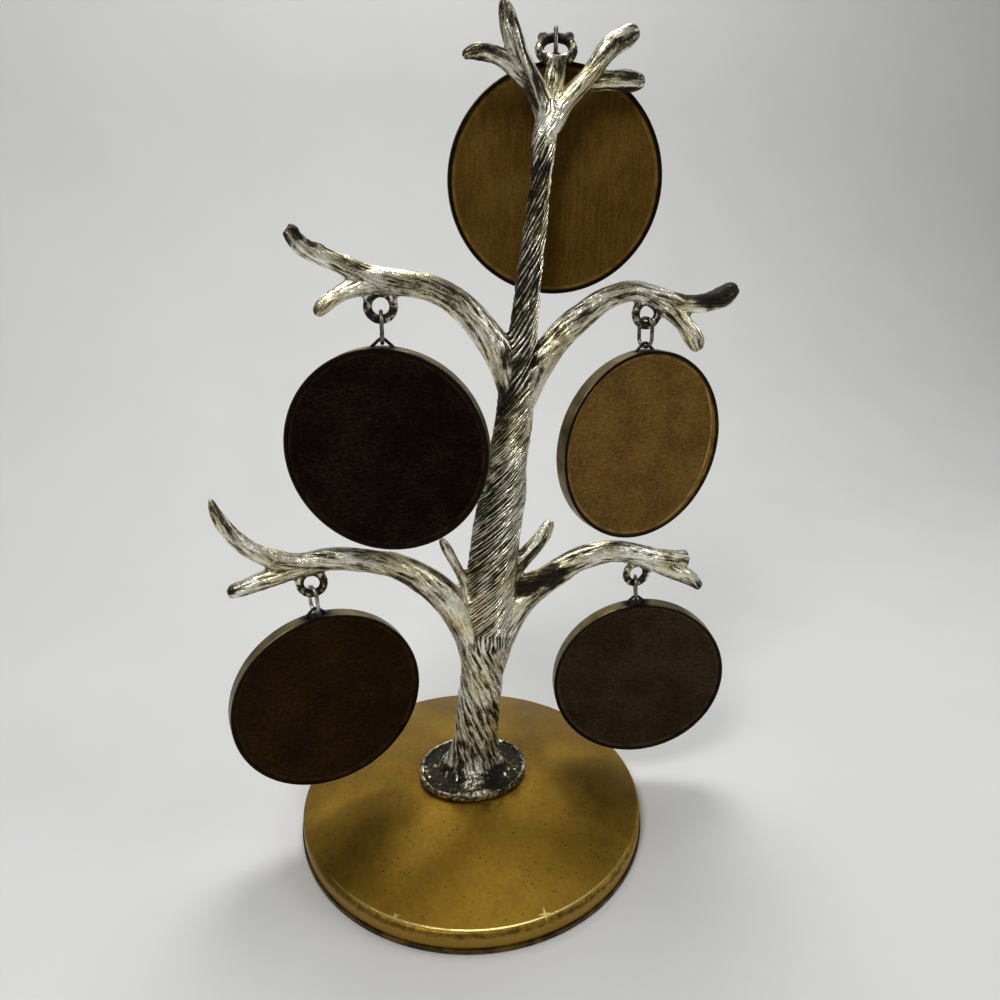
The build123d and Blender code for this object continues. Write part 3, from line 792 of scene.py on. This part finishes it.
# Roots: how many, their axis, phase and wandering, the heights between which they stand out,
# by how much, and how much brighter they are
ROOT_COUNT, ROOT_AXIS, ROOT_PHASE = 4, 0.8, 0.8
ROOT_WANDER, ROOT_WANDER_SIZE = 0.8, 5
ROOT_TOP, ROOT_TOP_FADE = 27, 9
ROOT_FOOT, ROOT_FOOT_FADE = 14.8, 1.6
ROOT_SWELL = 0.65
ROOT_TONE = 0.16
# The flare from the roots into the dish: its axis, where it starts, how it dies away outwards,
# its heights, the share of it that is even all round, its rise and its tone
FLARE_AXIS, FLARE_FROM, FLARE_RUN = 0.5, 9.0, 2.0
FLARE_TOP, FLARE_TOP_FADE = 19, 3
FLARE_FOOT, FLARE_FOOT_FADE = 14.2, 0.5
FLARE_EVEN_SHARE = 0.6
FLARE_HEIGHT = 1.7
FLARE_TONE = 0.22
# The dark line where the trunk meets the dish
SHADE_TOP, SHADE_FADE, SHADE_TONE = 18.6, 2, -0.22

# Where the worn casting is plumper than its solid: middle, reach, how much
SWELLS = [
    ((34, -3, 209), 5.5, 0.75), ((37.6, -3.4, 211), 3.5, 0.45), ((38.8, -3.2, 201.8), 5.0, 0.65),
    ((0.5, 0, 205.6), 4.5, 0.55), ((9.2, 0, 212), 5.5, 0.55), ((16, 0, 200), 5.0, 0.25),
    ((69.5, 0, 154.3), 5.0, 0.5), ((61.5, 0, 142), 5.0, 0.45), ((21, 0, 201.5), 4.0, 0.45),
    ((21.8, 3.0, 206.6), 3.2, 0.40), ((-35, 0, 152), 4.0, 0.3),
    ((-39.8, -0.5, 170), 1.5, 0.6), ((-34.5, -0.5, 166.4), 1.4, 0.45), ((-62.5, 0, 84), 1.5, 0.4),
]

# Darker and brighter places on the casting: middle, radius, change of tone. The darker places on the
# cast rings and in the crotches of the limbs are painted shade
SHADE_AND_TONE_SPOTS = [
    ((22.6, 8, 211), 4.2, -0.40), ((22, 4.6, 208.4), 2.6, -0.30), ((-21.5, 0, 151.5), 3.8, -0.30),
    ((47, 0, 148.5), 3.8, -0.36), ((-42.7, 0, 81.5), 3.8, -0.24), ((49.5, 0, 74), 3.8, -0.34),
    ((70.5, 0, 67.8), 3.5, -0.4), ((66, 0, 78), 2.4, -0.5), ((69, 0, 155), 4.5, -0.55),
    ((22.5, -4, 78.5), 4.2, -0.75), ((15.5, -4, 76.2), 4.2, -0.50), ((10, 0, 127), 5.5, -0.30),
    ((-40.5, 0, 168.5), 3.2, -0.35), ((3, 0, 77), 4.0, -0.25), ((5, 0, 100), 7.0, -0.12),
    ((20, 0, 199), 4.0, 0.15), ((18.5, -2, 191), 5.0, 0.30), ((6, -5, 72), 8.0, 0.14),
    ((58, -1.5, 156), 4.4, -0.55), ((63.5, -1.5, 156), 4.6, -0.75), ((1, 0, 50), 7.0, 0.08),
    ((45, 0, 79), 4.0, -0.15), ((-1, 0, 20), 5.0, -0.10), ((3, 0, 46), 9.0, 0.08),
    ((-30, 0, 87), 9.0, -0.13), ((-12, 0, 79), 7.0, -0.10), ((-39.2, -1, 168), 1.3, -0.5),
    ((-36.2, -1, 166.8), 1.2, -0.5), ((-63, -1, 82.3), 1.5, -0.35),
]


class Stretch(NamedTuple):
    """A stretch of the trunk: its ends with the lengths they fade over, a point of its middle
    line with its lean, and its half width."""

    start: float
    fade_in: float
    end: float
    fade_out: float
    across: float
    height: float
    lean: float
    half: float


UPPER_TRUNK = Stretch(128, 10, 190, 8, 10, 112, 0.107, 6)
MIDDLE_TRUNK = Stretch(50, 15, 135, 10, 6, 80, 0.11, 9)
# The upper trunk is darker, but what faces right by more than the last of these gets a painted
# highlight
UPPER_TONE, UPPER_LIGHT, UPPER_FACING = -0.30, 1.3, 0.40
# The middle trunk gets a painted highlight on its right and painted shade on its left
MIDDLE_SIDE_LIGHT, MIDDLE_OFFSET = 0.14, 0.1
CROWN_FROM, CROWN_FADE, CROWN_TONE = 194, 4, -0.15

# Whole numbers that scatter the cells of the noise
CELL_FACTORS = (374761393, 668265263, 2147483647)
SEED_FACTOR = 974634777
STIR_FACTOR = 1274126177
FULL_RANGE, HALF_RANGE = 0xFFFFFFFF, 0xFFFF
STIR_SHIFT, LAST_SHIFT = 13, 16


def hashed(cell, seed):
    """A repeatable pseudo-random share from 0 to 1 for each whole-numbered cell."""
    mixed = sum(cell[..., axis] * factor for axis, factor in enumerate(CELL_FACTORS))
    mixed = (mixed + seed * SEED_FACTOR).astype(np.int64) & FULL_RANGE
    mixed = ((mixed ^ (mixed >> STIR_SHIFT)) * STIR_FACTOR) & FULL_RANGE
    return ((mixed ^ (mixed >> LAST_SHIFT)) & HALF_RANGE) / HALF_RANGE


def value_noise(points, seed):
    """Smooth noise from -1 to 1 at an array of points, a blotch for each whole number."""
    low = np.floor(points).astype(np.int64)
    share = points - low
    share = share * share * (3 - 2 * share)
    total = np.zeros(len(points))
    for corner in np.ndindex(2, 2, 2):
        weight = np.prod(np.where(corner, share, 1 - share), axis=1)
        total += weight * hashed(low + np.array(corner), seed)
    return total * 2 - 1


def crests(points, seed, sharpness):
    """Crest lines from 0 in the troughs to 1 on the crests."""
    return (1 - np.abs(value_noise(points, seed))) ** sharpness


def rise(values, start, span):
    """0 up to start, straight up to 1 over the span, and 1 from there on."""
    return np.clip((values - start) / span, 0, 1)


def near_spot(points, middle, reach):
    """1 at the middle of a soft round spot, and 0 well beyond its reach."""
    apart = np.linalg.norm(points - np.array(middle), axis=1) / reach
    return np.exp(-(apart**4))


def near_stretch(points, part):
    """1 on a stretch of the trunk, fading to 0 beyond its ends and beside it."""
    height = points[:, 2]
    inside = rise(height, part.start, part.fade_in) * rise(height, part.end, -part.fade_out)
    aside = np.abs(points[:, 0] - part.across - (height - part.height) * part.lean)
    return inside * np.clip(part.half - aside, 0, 1)


def painted_light_and_tone(points, normals):
    """How much brighter or darker the plating is at each point than its relief says: tone, and
    painted highlight and shade.
    """
    right = normals[:, 0]
    change = sum(amount * near_spot(points, middle, reach) for middle, reach, amount in SHADE_AND_TONE_SPOTS)
    light = UPPER_LIGHT * np.clip(right - UPPER_FACING, 0, 1)
    change += near_stretch(points, UPPER_TRUNK) * (light + UPPER_TONE)
    change += near_stretch(points, MIDDLE_TRUNK) * MIDDLE_SIDE_LIGHT * (right + MIDDLE_OFFSET)
    return change + CROWN_TONE * rise(points[:, 2], CROWN_FROM, CROWN_FADE)


def along_line(points, line):
    """Where each point is beside a limb: gap to its surface, run along, angle, radius."""
    best = np.full(len(points), np.inf)
    run, angle, girth = (np.zeros(len(points)) for _ in range(3))
    passed = 0.0
    for start, end in zip(line, line[1:]):
        a, b = np.array(start[:3], float), np.array(end[:3], float)
        length = np.linalg.norm(b - a)
        heading = (b - a) / length
        share = np.clip((points - a) @ heading / length, 0, 1)
        offset = points - (a + share[:, None] * (b - a))
        radius = start[3] * (1 - share) + end[3] * share
        gap = np.linalg.norm(offset, axis=1) - radius
        side = np.cross(heading, (0, -1, 0))
        turn = np.arctan2(offset @ side, -offset[:, 1])
        near = gap < best
        best[near] = gap[near]
        run[near] = (passed + share * length)[near]
        angle[near] = turn[near]
        girth[near] = radius[near]
        passed += length
    return best, run, angle, girth


def near_ring(points):
    """Gap from each point to the nearest cast ring's surface."""
    best = np.full(len(points), np.inf)
    for middle, reach, turn, lean in RINGS.values():
        spin = Matrix.Rotation(radians(turn), 3, "Z") @ Matrix.Rotation(radians(-lean), 3, "X")
        local = (points - np.array(middle)) @ np.array(spin)
        flat = np.hypot(local[:, 0], local[:, 2]) - reach
        best = np.minimum(best, np.hypot(flat, local[:, 1]) - RING_BAR)
    return best


def remeshed(node):
    """A fine even mesh of a CAD node, its facets smoothed away."""
    made = bpy.data.objects.new("work", nodes[node].data.copy())
    bpy.context.scene.collection.objects.link(made)
    remesh = made.modifiers.new("remesh", "REMESH")
    remesh.mode = "VOXEL"
    remesh.voxel_size = VOXEL * MM
    smooth = made.modifiers.new("smooth", "SMOOTH")
    smooth.factor = SMOOTH_SHARE
    smooth.iterations = SMOOTH_ROUNDS
    graph = bpy.context.evaluated_depsgraph_get()
    mesh = bpy.data.meshes.new_from_object(made.evaluated_get(graph))
    bpy.data.objects.remove(made)
    return mesh


def bark(spot, turn, girth, seed, grain):
    """Carved bark from 0 in its cuts to 1 on its crests, and the form of its ridges: how far
    they wander, the share of the coarse ones, and their strength."""
    run = spot[:, 2]
    rope = run < grain.rope
    wander = WANDER * value_noise(spot / WANDER_CELL, seed + WANDER_SEED)
    thick = rise(girth, THICK_LIMB, THICK_FADE) * rise(run, grain.rope, ROPE_FADE)
    fine_wave, coarse_wave = (np.cos(count * turn + wander) for count in RIDGE_COUNTS)
    ridge = (fine_wave * thick + coarse_wave * (1 - thick)) * np.where(rope, ROPE_SHAPE, 1.0)
    long_cell = (grain.pitch, grain.pitch, grain.length)
    cuts = LONG_SHARE * crests(spot / long_cell, seed, LONG_SHARPNESS)
    cuts += FINE_SHARE * crests(spot / FINE_CELL, seed + FINE_SEED, FINE_SHARPNESS)
    level = grain.lift + CUTS_SHARE * (cuts + grain.ridge * ridge)
    level += ROUGH_SHARE * value_noise(spot / ROUGH_SIZE, seed + ROUGH_SEED)
    form = np.stack([wander, 1 - thick, np.where(rope, ROPE_TONE, 1.0) * grain.ridge], 1)
    return level, form


def limb_bark(points):
    """The bark of each point's limbs: its level, its place beside the limb and its ridges."""
    places = [along_line(points, line) for line in (TRUNK_LINE, *LIMB_LINES.values())]
    gaps = np.stack([place[0] for place in places])
    shares = np.exp(-(gaps - gaps.min(0)) / LIMB_BLEND)
    shares[shares < LEAST_SHARE] = 0
    shares /= shares.sum(0)
    strongest = shares.argmax(0)
    level = np.zeros(len(points))
    streak = points.copy()
    ridges = np.zeros((len(points), 3))
    heights, wound = zip(*BARK_WINDING)
    for number, place in enumerate(places):
        used = np.flatnonzero(shares[number] > 0)
        run, angle, girth = (measure[used] for measure in place[1:])
        if number:
            grain, winding = BRANCH_GRAIN, LIMB_WINDING * run
        else:
            grain, winding = TRUNK_GRAIN, np.interp(points[used, 2], heights, wound)
        turn = angle - np.radians(winding)
        spot = np.stack([girth * np.cos(turn), girth * np.sin(turn), run], 1)
        shape, form = bark(spot, turn, girth, LIMB_SEEDS * number, grain)
        level[used] += shares[number, used] * shape
        own = strongest[used] == number
        streak[used[own]] = spot[own]
        ridges[used[own]] = form[own]
    return level, streak, ridges


def plain_level(points, dish):
    """Level where there is no bark: oxide in the dish, pitted plate on the bead and rings."""
    pitted = PIT_LEVEL + sum(
        share * value_noise(points / size, seed) for share, size, seed in PIT_NOISES
    )
    specks = np.clip(value_noise(points / SPECK_SIZE, SPECK_SEED) - SPECK_FROM, 0, 1)
    oxide = OXIDE_LEVEL + SPECK_GAIN * specks
    bead = BEAD_LEVEL + BEAD_PITS * pitted
    return np.where(points[:, 2] < FOOT_TOP, dish * oxide + (1 - dish) * bead, pitted)


def root_form(points, dish):
    """The roots' lobes from -1 to 1, how much they show, and the flare into the dish."""
    height = points[:, 2]
    around = np.arctan2(points[:, 0] - ROOT_AXIS, -points[:, 1])
    wander = ROOT_WANDER * value_noise(points / ROOT_WANDER_SIZE, ROOT_SEED)
    lobes = np.cos(ROOT_COUNT * around + ROOT_PHASE + wander)
    root = rise(height, ROOT_TOP, -ROOT_TOP_FADE) * rise(height, ROOT_FOOT, ROOT_FOOT_FADE) * dish
    reach = np.hypot(points[:, 0] - FLARE_AXIS, points[:, 1])
    flare = np.exp(-np.clip(reach - FLARE_FROM, 0, None) / FLARE_RUN)
    flare *= rise(height, FLARE_TOP, -FLARE_TOP_FADE) * rise(height, FLARE_FOOT, FLARE_FOOT_FADE)
    flare *= dish * (FLARE_EVEN_SHARE + (1 - FLARE_EVEN_SHARE) * lobes)
    return lobes, root, flare


def keep(mesh, name, values):
    """Keep a value or a vector for each of a mesh's points, for its material to read."""
    kind, field = ("FLOAT", "value") if values.ndim == 1 else ("FLOAT_VECTOR", "vector")
    kept = mesh.attributes.new(name, kind, "POINT")
    kept.data.foreach_set(field, values.astype(np.float32).ravel())


def carve_tree():
    """The casting with its bark cut into it, and the depth of each point kept as relief, with
    painted shade and highlights added in.
    """
    mesh = remeshed("tree_casting")
    flat = np.zeros(len(mesh.vertices) * 3)
    mesh.vertices.foreach_get("co", flat)
    points = flat.reshape(-1, 3) / MM
    mesh.vertices.foreach_get("normal", flat)
    normals = flat.reshape(-1, 3)
    height = points[:, 2].copy()

    level, streak, ridges = limb_bark(points)
    mask = rise(near_ring(points), 0, RING_FADE) * rise(height, BARK_FOOT, BARK_FOOT_FADE)
    plain = mask < 0.5
    streak[plain] = points[plain] * (1, 1, 1 / STREAK_SHARE) * PLAIN_STREAK
    ridges[:, 2] *= mask
    outward = np.hypot(points[:, 0] / FOOT_HALF[0], points[:, 1] / FOOT_HALF[1])
    dish = rise(outward, DISH_EDGE, -DISH_FADE)
    level = level * mask + plain_level(points, dish) * (1 - mask)
    carved = np.clip(level - 1, -1, 0)
    depth = BARK_CUT * (PLAIN_CUT_SHARE + (1 - PLAIN_CUT_SHARE) * mask) * carved
    depth *= rise(height, UNDERSIDE, 1)
    for middle, reach, amount in SWELLS:
        depth += amount * near_spot(points, middle, reach)

    lobes, root, flare = root_form(points, dish)
    depth += ROOT_SWELL * lobes * root
    # Painted highlight and shade join the level here, and with it the relief that colours the
    # plating
    level += painted_light_and_tone(points, normals) + ROOT_TONE * lobes * root + FLARE_TONE * flare * lobes
    level += SHADE_TONE * rise(height, SHADE_TOP, -SHADE_FADE) * mask
    points[:, 2] += FLARE_HEIGHT * flare
    points += normals * depth[:, None]

    mesh.vertices.foreach_set("co", (points * MM).ravel())
    keep(mesh, "relief", np.clip(level, 0, 1))
    keep(mesh, "streak_place", streak * MM)
    keep(mesh, "ridge_form", ridges)
    mesh.shade_smooth()
    mesh.materials.clear()
    mesh.materials.append(antique_silver())
    tree = bpy.data.objects.new("bark_tree", mesh)
    bpy.context.scene.collection.objects.link(tree)
    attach(tree, "stand")
    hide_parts("tree_casting")


# The frames

PANE_GAP = 0.08


def box_middle(node):
    """The middle of a node's box."""
    low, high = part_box(node)
    return (low + high) / 2


def clear_pane(name, material):
    """The pane with its back face a hair off the photo sheet, which it would else share."""
    middle = box_middle(name + "_glass")
    away = (middle - box_middle(name + "_print")).normalized()
    mesh = nodes[name + "_glass"].data.copy()
    for vertex in mesh.vertices:
        if (vertex.co - middle).dot(away) < 0:
            vertex.co += away * PANE_GAP * MM
    mesh.materials.clear()
    mesh.materials.append(material)
    pane = bpy.data.objects.new(name + "_pane", mesh)
    bpy.context.scene.collection.objects.link(pane)
    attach(pane, name + "_frame")
    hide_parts(name + "_glass")


def dress_frames():
    """Wires, rim, pane, photo sheet and card of each of the five frames."""
    wire = dark_wire("link_wire", (0.05, 0.043, 0.033), (0.27, 0.25, 0.22))
    bright_wire = dark_wire("bright_link_wire", (0.16, 0.15, 0.13), (0.58, 0.56, 0.52))
    bail = dark_wire("bail_wire", (0.012, 0.009, 0.006), (0.07, 0.055, 0.040))
    glass = pane_glass()
    paper = photo_paper()
    for name, card in CARDS.items():
        paint(name + "_link", bright_wire if name == "lower_left" else wire)
        paint(name + "_bail", bail)
        solder = box_middle(name + "_bail")
        solder.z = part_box(name + "_bail")[0].z
        paint(name + "_bezel", aged_brass(name + "_rim", solder))
        clear_pane(name, glass)
        paint(name + "_print", paper)
        low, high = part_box(name + "_backing")
        reach = (high.z - low.z) / 2
        paint(name + "_backing", fibre_card(name + "_card", (low + high) / 2, reach, card))


# Putting it together

make_camera()
make_lamps()
make_world()
make_sweep()
carve_tree()
dress_frames()
paint("base_shell", worn_brass())
paint("base_weight", grey_iron())
paint("felt_pad", wool_felt())
paint("fixing_screw", zinc_steel())
paint("screw_washer", zinc_steel())

bpy.context.scene.view_settings.view_transform = "Standard"
